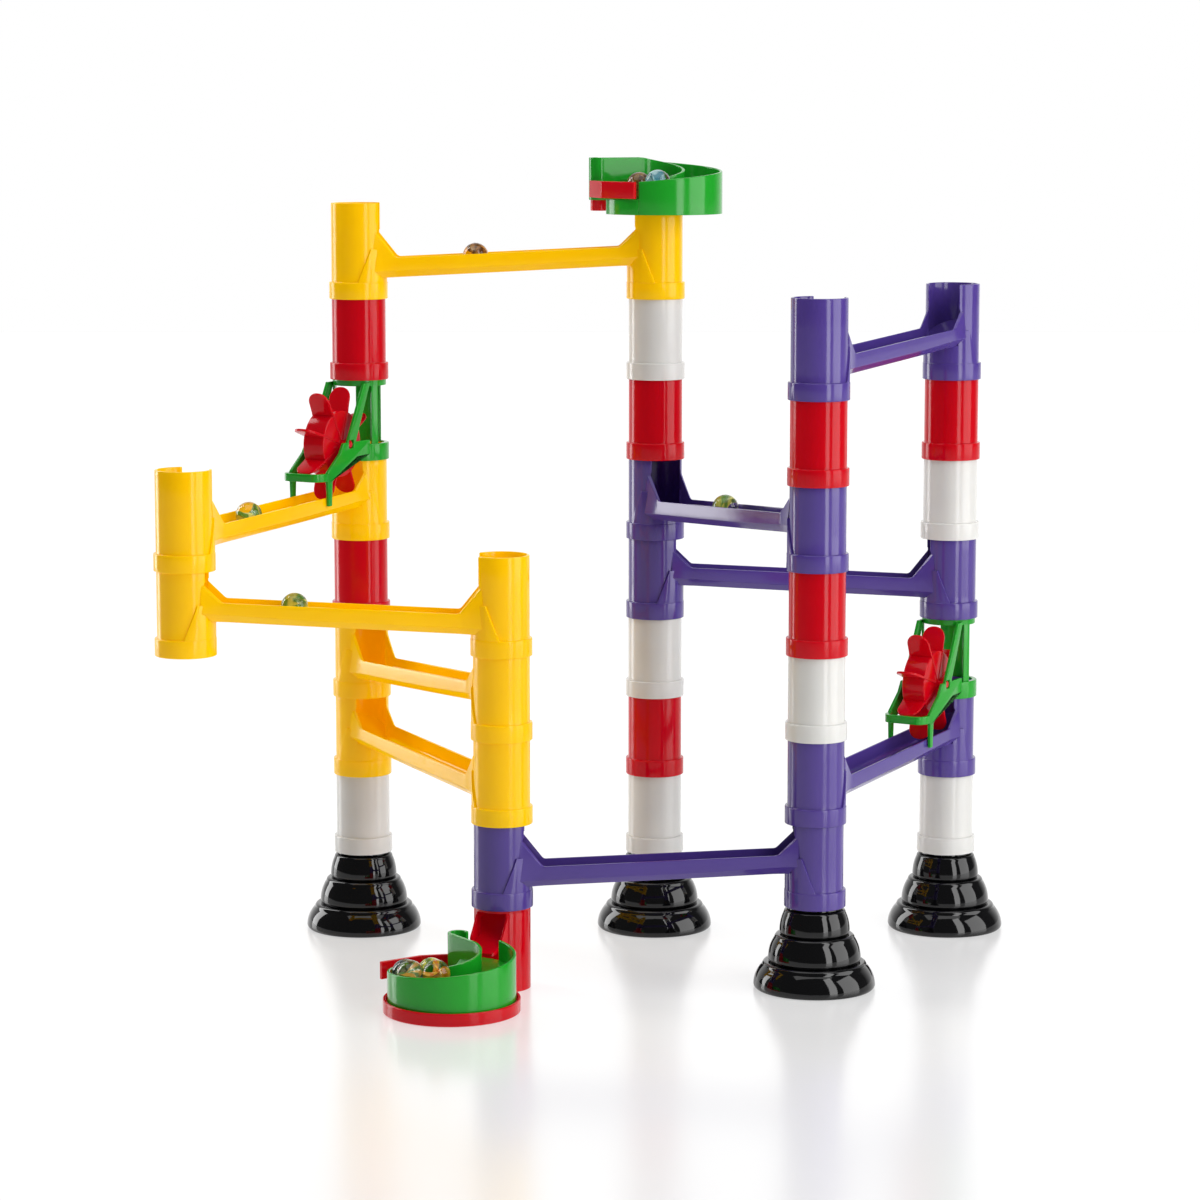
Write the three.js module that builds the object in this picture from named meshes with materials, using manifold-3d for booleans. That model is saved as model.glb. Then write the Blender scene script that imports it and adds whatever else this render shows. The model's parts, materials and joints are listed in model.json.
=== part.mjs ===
// Marble run: stacked tubes on bell-shaped feet, joined by sloping channels, with a spiral start
// tray, two paddle wheels and a spiral end tray. Millimetres, +Z up. The origin is on the table,
// in the middle of the footprint.
import * as THREE from 'three';
import { mergeVertices } from 'three/addons/utils/BufferGeometryUtils.js';
import Module from 'manifold-3d';

const wasm = await Module();
wasm.setup();

// Layout: the columns stand on a grid of equal triangles, and every piece is one pitch tall.
const TRACK_SPAN = 185;
const ROW_DEPTH = TRACK_SPAN * Math.sin(Math.PI / 3);
const PITCH = 50;
const FOOT_HEIGHT = 49;

// Tubes: a collar at the bottom slides over the tenon of the piece below.
const SIDES = 12;
const TUBE_RADIUS = 16.75;
const WALL = 1.5;
const BORE_RADIUS = TUBE_RADIUS - WALL;
const FIT_GAP = 0.3;
const SOCKET_RADIUS = TUBE_RADIUS + FIT_GAP;
const COLLAR_RADIUS = 18.25;
const COLLAR_HEIGHT = 10.6;
const SOCKET_DEPTH = 9.6;
const TENON_TOP = PITCH + SOCKET_DEPTH - FIT_GAP;

// Channels.
const MARBLE_RADIUS = 8;
const CHANNEL_HALF = 12.1;
const CHANNEL_INNER_HALF = 10.8;
const FLOOR_THICKNESS = 2.2;
const START_UNDERSIDE = 20.5;
const END_UNDERSIDE = 13.5;
const START_RIM = 32.3;
const END_RIM = 25.8;
const START_WEB_TOP = 44;
const END_WEB_TOP = 42.5;
const WEB_ROOT = 12;
const START_WEB_REACH = 22;
const END_WEB_REACH = 23.5;
const SLOT_HALF = 10.3;
const DEFLECTOR_TOP = 36.5;
const DRAIN_HALF = 2.5;
const DRAIN_FROM = 98;
const DRAIN_TO = 155;
const PAD_TOP = 31;
const PAD_RADIUS = 18;
const PAD_FULL_ANGLE = 90;

// Bell feet: three bulging rings, as the widest radius and the top of each, then the neck.
const FOOT_RINGS = [
  { bottom: 0, top: 15.8, waist: 28.8, bulge: 36.4 },
  { bottom: 15.8, top: 32.3, waist: 22.3, bulge: 27.7 },
  { bottom: 32.3, top: 47.3, waist: 17.5, bulge: 21 },
];
const FOOT_WALL = 2;

// Wheel frames and paddle wheels.
const FRAME_RING_BOTTOM = 46.4;
const POST_ANGLES = [[60, 78], [160, 222], [282, 300]];
const ARM_INNER = 12.4;
const ARM_OUTER = 14.6;
const ARM_TOP = 13.3;
const BUMPER_TOP = -3.9;
const BUMPER_BOTTOM = -8.8;
const BUMPER_THICKNESS = 2.8;
const BUMPER_PLAN = [[55, 13.4], [61, 12.9], [65.4, 10.5]];
const LEG_INNER = 51.5;
const LEG_OUTER = 57;
const LEG_BOTTOM = -24.2;
const AXLE_REACH = 31;
const AXLE_HEIGHT = 12;
const AXLE_RADIUS = 2;
const AXLE_HALF_LENGTH = 14;
const NOTCH_HALF = 2.6;
const WHEEL_RADIUS = 35.8;
const DRUM_RADIUS = 20.5;
const WHEEL_HALF_WIDTH = 8;
const PADDLES = 8;
const PADDLE_THICKNESS = 1.4;
const FIRST_PADDLE_ANGLE = 18;

// Spiral trays: azimuths in degrees, counted round the tray from its mouth side.
const TRAY_RADIUS = 37.3;
const TRAY_WALL = 1.8;
const RAMP_FROM = 246;
const RAMP_TO = 486;
const RAMP_LOW = 9.3;
const RAMP_RISE = 12;
const OUTER_WALL_LOW = 20.3;
const OUTER_WALL_RISE = 0.054;
const GAP_FROM = 200;
const ENTRY_TO = 526;
const HOLE_OFFSET = -4;
const HOLE_RADIUS = 9.5;
const INNER_WALL_RADIUS = 17;
const INNER_WALL_FROM = -75;
const INNER_WALL_TO = 118;
const INNER_WALL_STEPS = 10;
const INNER_WALL_LOW = 22.5;
const INNER_WALL_HIGH = 34.5;
const GATE_PIVOT = [-39.3, 6.5];
const GATE_PIN_RADIUS = 2.6;
const GATE_HUB_RADIUS = 5.3;
const GATE_BOTTOM = 9.9;
const GATE_TOP = 20.3;
const CURL_BOTTOM = 20.7;
const CURL_RADIUS = 5.4;
const CURL_FROM = -60;
const CURL_TO = -260;
const GATE_BAR = [[-44.2, 4], [-36.8, -15.5], [-17.3, -35.3]];
const GATE_THICKNESS = 2.6;
const HUB_BOTTOM = 1.6;
const START_TRAY_LIFT = 52.6;

// Spout foot with its dish.
const DISH_REACH = 63.5;
const DISH_TURN = 4;
const DISH_RADIUS = 40;
const DISH_RIM = 7.5;
const DISH_FLOOR = 2;
const END_TRAY_TURN = -84;
const END_GATE_OPEN = -15;
const CHEEK_HALF = 10.75;
const CHEEK_REACH = 21;
const LIP_REACH = 28.5;
const LIP_HALF = 8;
const LIP_HEIGHT = 24.8;
const MOUTH_TOP = 47.5;
const CHUTE_TOP = 46.5;

const COLOURS = {
  yellow: { color: 0xfacd05, roughness: 0.25 },
  red: { color: 0xc8141e, roughness: 0.25 },
  purple: { color: 0x5546a0, roughness: 0.3 },
  white: { color: 0xebe8e1, roughness: 0.3 },
  green: { color: 0x0fa03c, roughness: 0.3 },
  black: { color: 0x0c0c0e, roughness: 0.12 },
  amberGlass: { color: 0xc88c28, roughness: 0.05 },
  clearGlass: { color: 0xa8c8b4, roughness: 0.05 },
  blueGlass: { color: 0x3c8cb4, roughness: 0.05 },
};

const radians = THREE.MathUtils.degToRad;

// --- Solids -------------------------------------------------------------------------------

// A closed geometry as a manifold solid, with its shared corners merged.
function solid(geometry) {
  const bare = geometry.clone();
  bare.deleteAttribute('normal');
  bare.deleteAttribute('uv');
  const merged = mergeVertices(bare, 1e-4);
  return new wasm.Manifold(new wasm.Mesh({
    numProp: 3,
    vertProperties: new Float32Array(merged.attributes.position.array),
    triVerts: new Uint32Array(merged.index.array),
  }));
}

function geometryOf(manifold) {
  const mesh = manifold.getMesh();
  const geometry = new THREE.BufferGeometry();
  geometry.setAttribute('position', new THREE.BufferAttribute(mesh.vertProperties.slice(), 3));
  geometry.setIndex(new THREE.BufferAttribute(mesh.triVerts.slice(), 1));
  return geometry;
}

function join(solids) {
  return solids.reduce((whole, piece) => whole.add(piece));
}

function box(low, high) {
  const size = high.map((value, axis) => value - low[axis]);
  const geometry = new THREE.BoxGeometry(...size);
  geometry.translate(...high.map((value, axis) => (value + low[axis]) / 2));
  return solid(geometry);
}

// A closed outline of [radius, height] points, turned about Z.
function turned(outline, sides = SIDES) {
  const closed = outline[0][0] > 0 ? [...outline, outline[0]] : outline;
  const geometry = new THREE.LatheGeometry(closed.map(([r, z]) => new THREE.Vector2(r, z)), sides);
  return solid(geometry.rotateX(Math.PI / 2));
}

function cylinder(radius, bottom, top, sides = SIDES) {
  return turned([[0, bottom], [radius, bottom], [radius, top], [0, top]], sides);
}

// A plate whose outline is drawn in the XZ plane and which spans from one Y to another.
function sidePlate(outline, fromY, toY) {
  const shape = new THREE.Shape(outline.map(([x, z]) => new THREE.Vector2(x, z)));
  const geometry = new THREE.ExtrudeGeometry(shape, { depth: toY - fromY, bevelEnabled: false });
  return solid(geometry.rotateX(Math.PI / 2).translate(0, toY, 0));
}

// A body lofted through stations of four corners each, in the order low-inner, low-outer,
// high-outer, high-inner, with a flat cap at each end.
function loft(stations) {
  const corners = stations.flat();
  const index = [];
  const quad = (a, b, c, d) => index.push(a, b, c, a, c, d);
  for (let s = 0; s + 1 < stations.length; s += 1) {
    for (let k = 0; k < 4; k += 1) {
      const next = (k + 1) % 4;
      quad(s * 4 + k, s * 4 + next, (s + 1) * 4 + next, (s + 1) * 4 + k);
    }
  }
  const last = (stations.length - 1) * 4;
  quad(3, 2, 1, 0);
  quad(last, last + 1, last + 2, last + 3);
  const geometry = new THREE.BufferGeometry();
  geometry.setAttribute('position', new THREE.Float32BufferAttribute(corners.flat(), 3));
  geometry.setIndex(index);
  return solid(geometry);
}

// Part of a ring about Z through a list of angles in degrees. bottom and top are heights as
// functions of the angle.
function arcRing(angles, inner, outer, bottom, top) {
  return loft(angles.map((angle) => {
    const [x, y] = [Math.cos(radians(angle)), Math.sin(radians(angle))];
    const corner = (r, z) => [r * x, r * y, z];
    return [
      corner(inner, bottom(angle)),
      corner(inner, top(angle)),
      corner(outer, top(angle)),
      corner(outer, bottom(angle)),
    ];
  }));
}

function evenAngles(from, to, steps) {
  return Array.from({ length: steps + 1 }, (_, i) => from + ((to - from) * i) / steps);
}

// An upright wall that follows a plan path of [x, y, top] points.
function ribbon(path, thickness, bottom) {
  const stations = path.map(([x, y, top], i) => {
    const before = path[Math.max(i - 1, 0)];
    const after = path[Math.min(i + 1, path.length - 1)];
    const run = new THREE.Vector2(after[0] - before[0], after[1] - before[1]).normalize();
    const side = [(-run.y * thickness) / 2, (run.x * thickness) / 2];
    const left = [x + side[0], y + side[1]];
    const right = [x - side[0], y - side[1]];
    return [[...left, bottom], [...left, top], [...right, top], [...right, bottom]];
  });
  return loft(stations);
}

// --- Tubes and feet -----------------------------------------------------------------------

// A tube wall with its collar. The socket ends below the collar's top edge, which leaves a shoulder.
function tubeShell() {
  return turned([
    [SOCKET_RADIUS, 0], [COLLAR_RADIUS, 0], [COLLAR_RADIUS, COLLAR_HEIGHT],
    [TUBE_RADIUS, COLLAR_HEIGHT], [TUBE_RADIUS, TENON_TOP],
    [BORE_RADIUS, TENON_TOP], [BORE_RADIUS, SOCKET_DEPTH], [SOCKET_RADIUS, SOCKET_DEPTH],
  ]);
}

function tubeBore() {
  const clear = cylinder(BORE_RADIUS, 0, TENON_TOP + 1);
  return clear.add(cylinder(SOCKET_RADIUS, -1, SOCKET_DEPTH));
}

function bellFoot() {
  const outline = [];
  for (const { bottom, top, waist, bulge } of FOOT_RINGS) {
    const middle = bottom + (top - bottom) * 0.4;
    outline.push([(waist + bulge * 2) / 3 + 1.5, bottom]);
    outline.push([bulge, middle]);
    outline.push([(bulge + waist) / 2 + 1, top - 2]);
    outline.push([waist, top]);
  }
  const neckTop = FOOT_HEIGHT + SOCKET_DEPTH - FIT_GAP;
  outline.push([TUBE_RADIUS, FOOT_RINGS[2].top], [TUBE_RADIUS, neckTop], [BORE_RADIUS, neckTop]);
  outline.push([BORE_RADIUS, FOOT_RINGS[1].top + FOOT_WALL]);
  for (const { bottom, waist } of [...FOOT_RINGS].reverse()) {
    outline.push([waist - FOOT_WALL, bottom + FOOT_WALL]);
  }
  outline.push([FOOT_RINGS[0].bulge - 2 * FOOT_WALL, 0]);
  return turned(outline);
}

// --- Channels -----------------------------------------------------------------------------

const slope = (START_UNDERSIDE - END_UNDERSIDE) / (TRACK_SPAN - 37.5);
const underside = (x) => START_UNDERSIDE - (x - 18) * slope;
const channelFloor = (x) => underside(x) + FLOOR_THICKNESS;

// The outside of a tube, with its collar, as one solid.
function tubeCore() {
  return turned([
    [0, 0], [COLLAR_RADIUS, 0], [COLLAR_RADIUS, COLLAR_HEIGHT],
    [TUBE_RADIUS, COLLAR_HEIGHT], [TUBE_RADIUS, TENON_TOP], [0, TENON_TOP],
  ]);
}

// The pad on the tube wall that carries the channel, at an end whose channel runs along +X.
function channelPad() {
  const angles = evenAngles(-PAD_FULL_ANGLE, PAD_FULL_ANGLE, 6);
  const top = (angle) => (Math.abs(angle) < PAD_FULL_ANGLE ? PAD_TOP : COLLAR_HEIGHT - 0.4);
  return arcRing(angles, TUBE_RADIUS / 2, PAD_RADIUS, () => COLLAR_HEIGHT / 2, top);
}

// The sloping plate in a start tube that turns a falling marble into the channel.
function deflector() {
  const reach = BORE_RADIUS + 0.5;
  const low = channelFloor(reach) - 0.4;
  const plate = sidePlate([
    [reach, low - 1.5], [reach, low], [-reach, DEFLECTOR_TOP], [-reach, DEFLECTOR_TOP - 2],
  ], -TUBE_RADIUS, TUBE_RADIUS);
  return plate.intersect(cylinder(BORE_RADIUS + 0.6, 0, PITCH));
}

function channelTrack() {
  const far = TRACK_SPAN;
  const top = PITCH + COLLAR_HEIGHT;
  const channel = sidePlate([
    [0, underside(0)], [far, underside(far)], [far, END_WEB_TOP], [far - WEB_ROOT, END_WEB_TOP],
    [far - END_WEB_REACH, END_RIM], [START_WEB_REACH, START_RIM], [WEB_ROOT, START_WEB_TOP],
    [0, START_WEB_TOP],
  ], -CHANNEL_HALF, CHANNEL_HALF);
  const inset = TUBE_RADIUS / 2;
  const passage = sidePlate([
    [inset, channelFloor(inset)], [far - inset, channelFloor(far - inset)], [far - inset, top],
    [inset, top],
  ], -CHANNEL_INNER_HALF, CHANNEL_INNER_HALF);
  const slots = join([
    box([inset - 1, -SLOT_HALF, START_WEB_TOP + 0.5], [20, SLOT_HALF, top]),
    box([far - 20, -SLOT_HALF, END_WEB_TOP + 0.5], [far - inset + 1, SLOT_HALF, top]),
  ]);
  const drain = box([DRAIN_FROM, -DRAIN_HALF, 0], [DRAIN_TO, DRAIN_HALF, PITCH]);
  const outside = join([
    tubeCore(),
    tubeCore().translate([far, 0, 0]),
    channelPad(),
    channelPad().rotate([0, 0, 180]).translate([far, 0, 0]),
    channel,
  ]);
  const hollows = join([tubeBore(), tubeBore().translate([far, 0, 0]), passage, slots, drain]);
  return outside.subtract(hollows).add(deflector());
}

// --- Wheel frame and wheel ----------------------------------------------------------------

// Two arms reach out over the channel and hold the axle. A curved bumper joins them in front of
// the two legs, which straddle the channel below.
function wheelFrame() {
  const window = cylinder(COLLAR_RADIUS + 1, COLLAR_HEIGHT + 0.4, FRAME_RING_BOTTOM);
  const slot = box([0, -SLOT_HALF, -1], [COLLAR_RADIUS + 2, SLOT_HALF, COLLAR_HEIGHT + 1]);
  const post = ([from, to]) => arcRing(
    evenAngles(from, to, 2),
    BORE_RADIUS - 0.2,
    TUBE_RADIUS - 0.2,
    () => COLLAR_HEIGHT - 2,
    () => FRAME_RING_BOTTOM + 2,
  );
  const arm = [
    [10, 4.2], [24.6, 3.7], [LEG_INNER, -9], [LEG_INNER + 1, -10.4], [LEG_OUTER, -10.4],
    [LEG_OUTER, -3.6], [43.2, 7], [39, ARM_TOP], [AXLE_REACH + NOTCH_HALF, ARM_TOP],
    [AXLE_REACH + NOTCH_HALF, AXLE_HEIGHT - NOTCH_HALF],
    [AXLE_REACH - NOTCH_HALF, AXLE_HEIGHT - NOTCH_HALF],
    [AXLE_REACH - NOTCH_HALF, ARM_TOP], [10, ARM_TOP],
  ];
  const strut = [
    [9.5, 48.5], [26, ARM_TOP - 0.5], [AXLE_REACH - NOTCH_HALF - 0.1, ARM_TOP - 0.5],
    [AXLE_REACH - NOTCH_HALF, AXLE_HEIGHT + NOTCH_HALF],
    [AXLE_REACH + NOTCH_HALF, AXLE_HEIGHT + NOTCH_HALF],
    [AXLE_REACH + NOTCH_HALF + 0.1, ARM_TOP - 0.5], [35.2, ARM_TOP - 0.5], [16.2, 48.5],
  ];
  const leg = [
    [LEG_INNER + 0.2, -8], [LEG_INNER + 1, LEG_BOTTOM], [LEG_OUTER - 1, LEG_BOTTOM],
    [LEG_OUTER - 0.2, -8],
  ];
  const pair = (outline, inset = 0) => sidePlate(outline, ARM_INNER + inset, ARM_OUTER - inset)
    .add(sidePlate(outline, inset - ARM_OUTER, -ARM_INNER - inset));
  const halfBumper = BUMPER_PLAN.map(([x, y]) => [x, y, BUMPER_TOP]);
  const otherHalf = BUMPER_PLAN.map(([x, y]) => [x, -y, BUMPER_TOP]).reverse();
  const bumper = ribbon([...halfBumper, ...otherHalf], BUMPER_THICKNESS, BUMPER_BOTTOM);
  const ring = join([tubeShell().subtract(window), ...POST_ANGLES.map(post)]).subtract(slot);
  return join([ring, pair(arm), pair(strut, 0.1), pair(leg, 0.1), bumper]).subtract(tubeBore());
}

// The wheel turns about Y, with its centre at the origin.
function paddleWheel() {
  const drum = cylinder(DRUM_RADIUS, -WHEEL_HALF_WIDTH, WHEEL_HALF_WIDTH, 16);
  const axle = cylinder(AXLE_RADIUS, -AXLE_HALF_LENGTH, AXLE_HALF_LENGTH);
  const shoulder = WHEEL_RADIUS - 7;
  const paddle = sidePlate([
    [DRUM_RADIUS - 2, -7.8], [shoulder, -7.2], [shoulder + 5, -5.3], [WHEEL_RADIUS, -1.8],
    [WHEEL_RADIUS, 1.8], [shoulder + 5, 5.3], [shoulder, 7.2], [DRUM_RADIUS - 2, 7.8],
  ], -PADDLE_THICKNESS / 2, PADDLE_THICKNESS / 2);
  const pieces = [drum, axle];
  for (let k = 0; k < PADDLES; k += 1) {
    pieces.push(paddle.rotate([0, 0, FIRST_PADDLE_ANGLE + (360 / PADDLES) * k]));
  }
  return join(pieces).rotate([90, 0, 0]);
}

// --- Trays --------------------------------------------------------------------------------

// The ramp climbs steeply at first and levels out under the entry.
function rampHeight(angle) {
  const along = THREE.MathUtils.clamp((angle - RAMP_FROM) / (RAMP_TO - RAMP_FROM), 0, 1);
  return RAMP_LOW + RAMP_RISE * (1 - (1 - along) ** 2);
}

// The inner wall's top rises beside the hole and is level from there to its end.
function innerWallPath() {
  const around = (centre, radius, angles) => angles.map((angle) => [
    centre[0] + radius * Math.cos(radians(angle)),
    centre[1] + radius * Math.sin(radians(angle)),
  ]);
  const besideHole = evenAngles(INNER_WALL_FROM, INNER_WALL_TO, INNER_WALL_STEPS);
  const path = [
    ...around([HOLE_OFFSET, 0], INNER_WALL_RADIUS, besideHole),
    ...around(GATE_PIVOT, CURL_RADIUS, evenAngles(CURL_FROM, CURL_TO, 4)),
  ];
  const rise = (INNER_WALL_HIGH - INNER_WALL_LOW) / (INNER_WALL_STEPS + 1);
  return path.map(([x, y], i) => [x, y, Math.min(INNER_WALL_LOW + rise * i, INNER_WALL_HIGH)]);
}

// The inner wall curls round the hole, runs out to the gate's pivot and wraps round it.
function spiralTray() {
  const rimInner = TRAY_RADIUS - TRAY_WALL;
  const floorBottom = RAMP_LOW - TRAY_WALL;
  const atHole = (radius, bottom, top) => cylinder(radius, bottom, top)
    .translate([HOLE_OFFSET, 0, 0]);
  const atPivot = (radius, bottom, top) => cylinder(radius, bottom, top)
    .translate([...GATE_PIVOT, 0]);
  const ramp = arcRing(
    evenAngles(GAP_FROM, ENTRY_TO, 16),
    8,
    rimInner + 0.6,
    (angle) => rampHeight(angle) - TRAY_WALL,
    rampHeight,
  );
  const risingWall = (angle) => OUTER_WALL_LOW + (angle - RAMP_FROM) * OUTER_WALL_RISE;
  const outerWall = arcRing(
    [...evenAngles(GAP_FROM, RAMP_FROM, 4), ...evenAngles(RAMP_FROM + 0.5, RAMP_TO, 16)],
    rimInner,
    TRAY_RADIUS,
    () => 0,
    (angle) => (angle > RAMP_FROM ? risingWall(angle) : RAMP_LOW + 0.1),
  );
  const shell = join([
    ramp.subtract(atHole(INNER_WALL_RADIUS, -5, PITCH)),
    atHole(INNER_WALL_RADIUS + 0.5, floorBottom + 0.1, RAMP_LOW - 0.1),
    atHole(COLLAR_RADIUS + 0.4, 0, RAMP_LOW - 0.5),
    outerWall,
    ribbon(innerWallPath(), TRAY_WALL, RAMP_LOW - 1),
  ]).subtract(join([
    atPivot(GATE_HUB_RADIUS + 2.5, -1, CURL_BOTTOM),
    atHole(HOLE_RADIUS, -1, PITCH),
    atHole(SOCKET_RADIUS, -1, floorBottom),
  ]));
  const curlFloor = atPivot(CURL_RADIUS, CURL_BOTTOM + 0.1, CURL_BOTTOM + TRAY_WALL);
  return join([shell, curlFloor, atPivot(GATE_PIN_RADIUS, 4, CURL_BOTTOM + 0.5)]);
}

// The gate swings about its hub, which is at the origin in plan.
function gate() {
  const plan = GATE_BAR.map(([x, y]) => [x - GATE_PIVOT[0], y - GATE_PIVOT[1], GATE_TOP]);
  const bar = ribbon(plan, GATE_THICKNESS, GATE_BOTTOM);
  const hub = cylinder(GATE_HUB_RADIUS, HUB_BOTTOM, GATE_TOP, 16);
  const bore = cylinder(GATE_PIN_RADIUS + FIT_GAP, HUB_BOTTOM + 2, GATE_TOP + 1);
  return join([bar, hub]).subtract(bore);
}

// The foot under the last column: the tube opens into a chute over the dish.
function spoutFoot() {
  const neckTop = FOOT_HEIGHT + SOCKET_DEPTH - FIT_GAP;
  const shell = turned([
    [BORE_RADIUS, 0], [TUBE_RADIUS, 0], [TUBE_RADIUS, neckTop], [BORE_RADIUS, neckTop],
  ]);
  const mouthHalf = CHEEK_HALF - WALL;
  const mouth = box([4, -mouthHalf, -1], [20, mouthHalf, MOUTH_TOP]);
  const cheek = [
    [4, 0], [CHEEK_REACH, 0], [CHEEK_REACH, 33], [17, 39], [12, FOOT_HEIGHT - 1], [4, FOOT_HEIGHT - 1],
  ];
  const chute = sidePlate([
    [LIP_REACH - 3, LIP_HEIGHT], [LIP_REACH, LIP_HEIGHT], [LIP_REACH, LIP_HEIGHT + WALL],
    [LIP_REACH - 5, LIP_HEIGHT + 2.4], [-14.5, CHUTE_TOP], [-15.8, CHUTE_TOP], [-15.8, CHUTE_TOP - 2.5],
  ], -BORE_RADIUS, BORE_RADIUS).intersect(join([
    cylinder(BORE_RADIUS + 0.5, 0, FOOT_HEIGHT),
    box([3, 0.5 - CHEEK_HALF, 0], [CHEEK_REACH - 0.5, CHEEK_HALF - 0.5, FOOT_HEIGHT]),
    box([3, -LIP_HALF, 0], [LIP_REACH + 1, LIP_HALF, FOOT_HEIGHT]),
  ]));
  const cheeks = sidePlate(cheek, mouthHalf, CHEEK_HALF)
    .add(sidePlate(cheek, -CHEEK_HALF, -mouthHalf))
    .subtract(cylinder(BORE_RADIUS, -1, FOOT_HEIGHT + 1));
  const bridge = box([6, -CHEEK_HALF, 0], [30, CHEEK_HALF, DISH_FLOOR]);
  const dish = turned([
    [0, 0], [DISH_RADIUS, 0], [DISH_RADIUS, DISH_RIM], [DISH_RADIUS - TRAY_WALL, DISH_RIM],
    [DISH_RADIUS - TRAY_WALL, DISH_FLOOR], [0, DISH_FLOOR],
  ], 36).translate([DISH_REACH, 0, 0]);
  const turn = END_TRAY_TURN - DISH_DIRECTION;
  const hub = new THREE.Vector2(...GATE_PIVOT).rotateAround(new THREE.Vector2(), radians(turn));
  const hubSpace = cylinder(GATE_HUB_RADIUS + 2, DISH_FLOOR, DISH_RIM + 1, 12)
    .translate([DISH_REACH + hub.x, hub.y, 0]);
  return join([shell.subtract(mouth), cheeks, chute, bridge, dish]).subtract(hubSpace);
}

function marble() {
  return solid(new THREE.IcosahedronGeometry(MARBLE_RADIUS, 1));
}

// --- Assembly -----------------------------------------------------------------------------

const DISH_DIRECTION = -120 + DISH_TURN;

// Columns, as grid places, and the pieces that stack on each from the bottom up.
const COLUMNS = {
  a: [-TRACK_SPAN, 0],
  b: [-TRACK_SPAN / 2, -ROW_DEPTH],
  c: [-TRACK_SPAN * 1.5, -ROW_DEPTH],
  d: [0, 0],
  e: [TRACK_SPAN / 2, -ROW_DEPTH],
  f: [TRACK_SPAN, 0],
};
const STRAIGHT_TUBES = {
  a: { 1: 'white', 4: 'red', 7: 'red' },
  d: { 1: 'white', 2: 'red', 3: 'white', 6: 'red', 7: 'white' },
  e: { 3: 'white', 4: 'red', 6: 'red' },
  f: { 1: 'white', 5: 'white', 6: 'red' },
};
// Each channel: the column where it starts, its direction in degrees, its level and colour.
const TRACKS = [
  { from: 'd', turn: 180, level: 8, colour: 'yellow', marble: 112, glass: 'amberGlass' },
  { from: 'a', turn: -120, level: 5, colour: 'yellow', marble: 120, glass: 'clearGlass' },
  { from: 'c', turn: 0, level: 4, colour: 'yellow', marble: 64, glass: 'clearGlass' },
  { from: 'b', turn: 120, level: 3, colour: 'yellow' },
  { from: 'a', turn: -60, level: 2, colour: 'yellow' },
  { from: 'e', turn: 180, level: 1, colour: 'purple' },
  { from: 'f', turn: -120, level: 2, colour: 'purple' },
  { from: 'd', turn: 0, level: 4, colour: 'purple' },
  { from: 'e', turn: 120, level: 5, colour: 'purple', marble: 102, glass: 'clearGlass' },
  { from: 'f', turn: -120, level: 7, colour: 'purple' },
];
const WHEELS = [
  { name: 'upper', column: 'a', turn: -120, level: 6 },
  { name: 'lower', column: 'f', turn: -120, level: 3 },
];
// Marbles lying in the trays, as an azimuth and a radius round the tray.
const START_MARBLES = [
  { angle: 263, radius: 27, glass: 'blueGlass' },
  { angle: 224, radius: 20.2, glass: 'clearGlass' },
];
const END_MARBLES = [
  { angle: 337, radius: 26.2, glass: 'amberGlass' },
  { angle: 293, radius: 26.5, glass: 'amberGlass' },
  { angle: 257, radius: 27, glass: 'clearGlass' },
  { angle: 222, radius: 16.6, glass: 'clearGlass' },
];

const levelHeight = (level) => FOOT_HEIGHT + (level - 1) * PITCH;

const run = new THREE.Group();

function addPiece(parent, name, colour, manifold, position, turn = 0) {
  const material = new THREE.MeshStandardMaterial({ ...COLOURS[colour], metalness: 0 });
  const mesh = new THREE.Mesh(geometryOf(manifold), material);
  mesh.name = name;
  mesh.position.set(...position);
  mesh.rotation.z = radians(turn);
  parent.add(mesh);
  return mesh;
}

function groupAt(position, turn) {
  const group = new THREE.Group();
  group.position.set(...position);
  group.rotation.z = radians(turn);
  run.add(group);
  return group;
}

const shapes = {
  foot: bellFoot(),
  tube: tubeShell(),
  track: channelTrack(),
  frame: wheelFrame(),
  wheel: paddleWheel(),
  tray: spiralTray(),
  gate: gate(),
  marble: marble(),
};

for (const column of ['a', 'd', 'e', 'f']) {
  addPiece(run, `foot_${column}`, 'black', shapes.foot, [...COLUMNS[column], 0]);
}

for (const [column, levels] of Object.entries(STRAIGHT_TUBES)) {
  for (const [level, colour] of Object.entries(levels)) {
    const position = [...COLUMNS[column], levelHeight(level)];
    addPiece(run, `tube_${column}${level}_${colour}`, colour, shapes.tube, position);
  }
}

TRACKS.forEach(({ from, turn, level, colour, marble: reach, glass }, i) => {
  const group = groupAt([...COLUMNS[from], levelHeight(level)], turn);
  addPiece(group, `track_${i + 1}_${colour}`, colour, shapes.track, [0, 0, 0]);
  if (reach) {
    const height = channelFloor(reach) + MARBLE_RADIUS + FIT_GAP;
    addPiece(group, `marble_track_${i + 1}`, glass, shapes.marble, [reach, 0, height]);
  }
});

for (const { name, column, turn, level } of WHEELS) {
  const group = groupAt([...COLUMNS[column], levelHeight(level)], turn);
  addPiece(group, `wheel_frame_${name}`, 'green', shapes.frame, [0, 0, 0]);
  addPiece(group, `wheel_${name}`, 'red', shapes.wheel, [AXLE_REACH, 0, AXLE_HEIGHT]);
}

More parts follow.
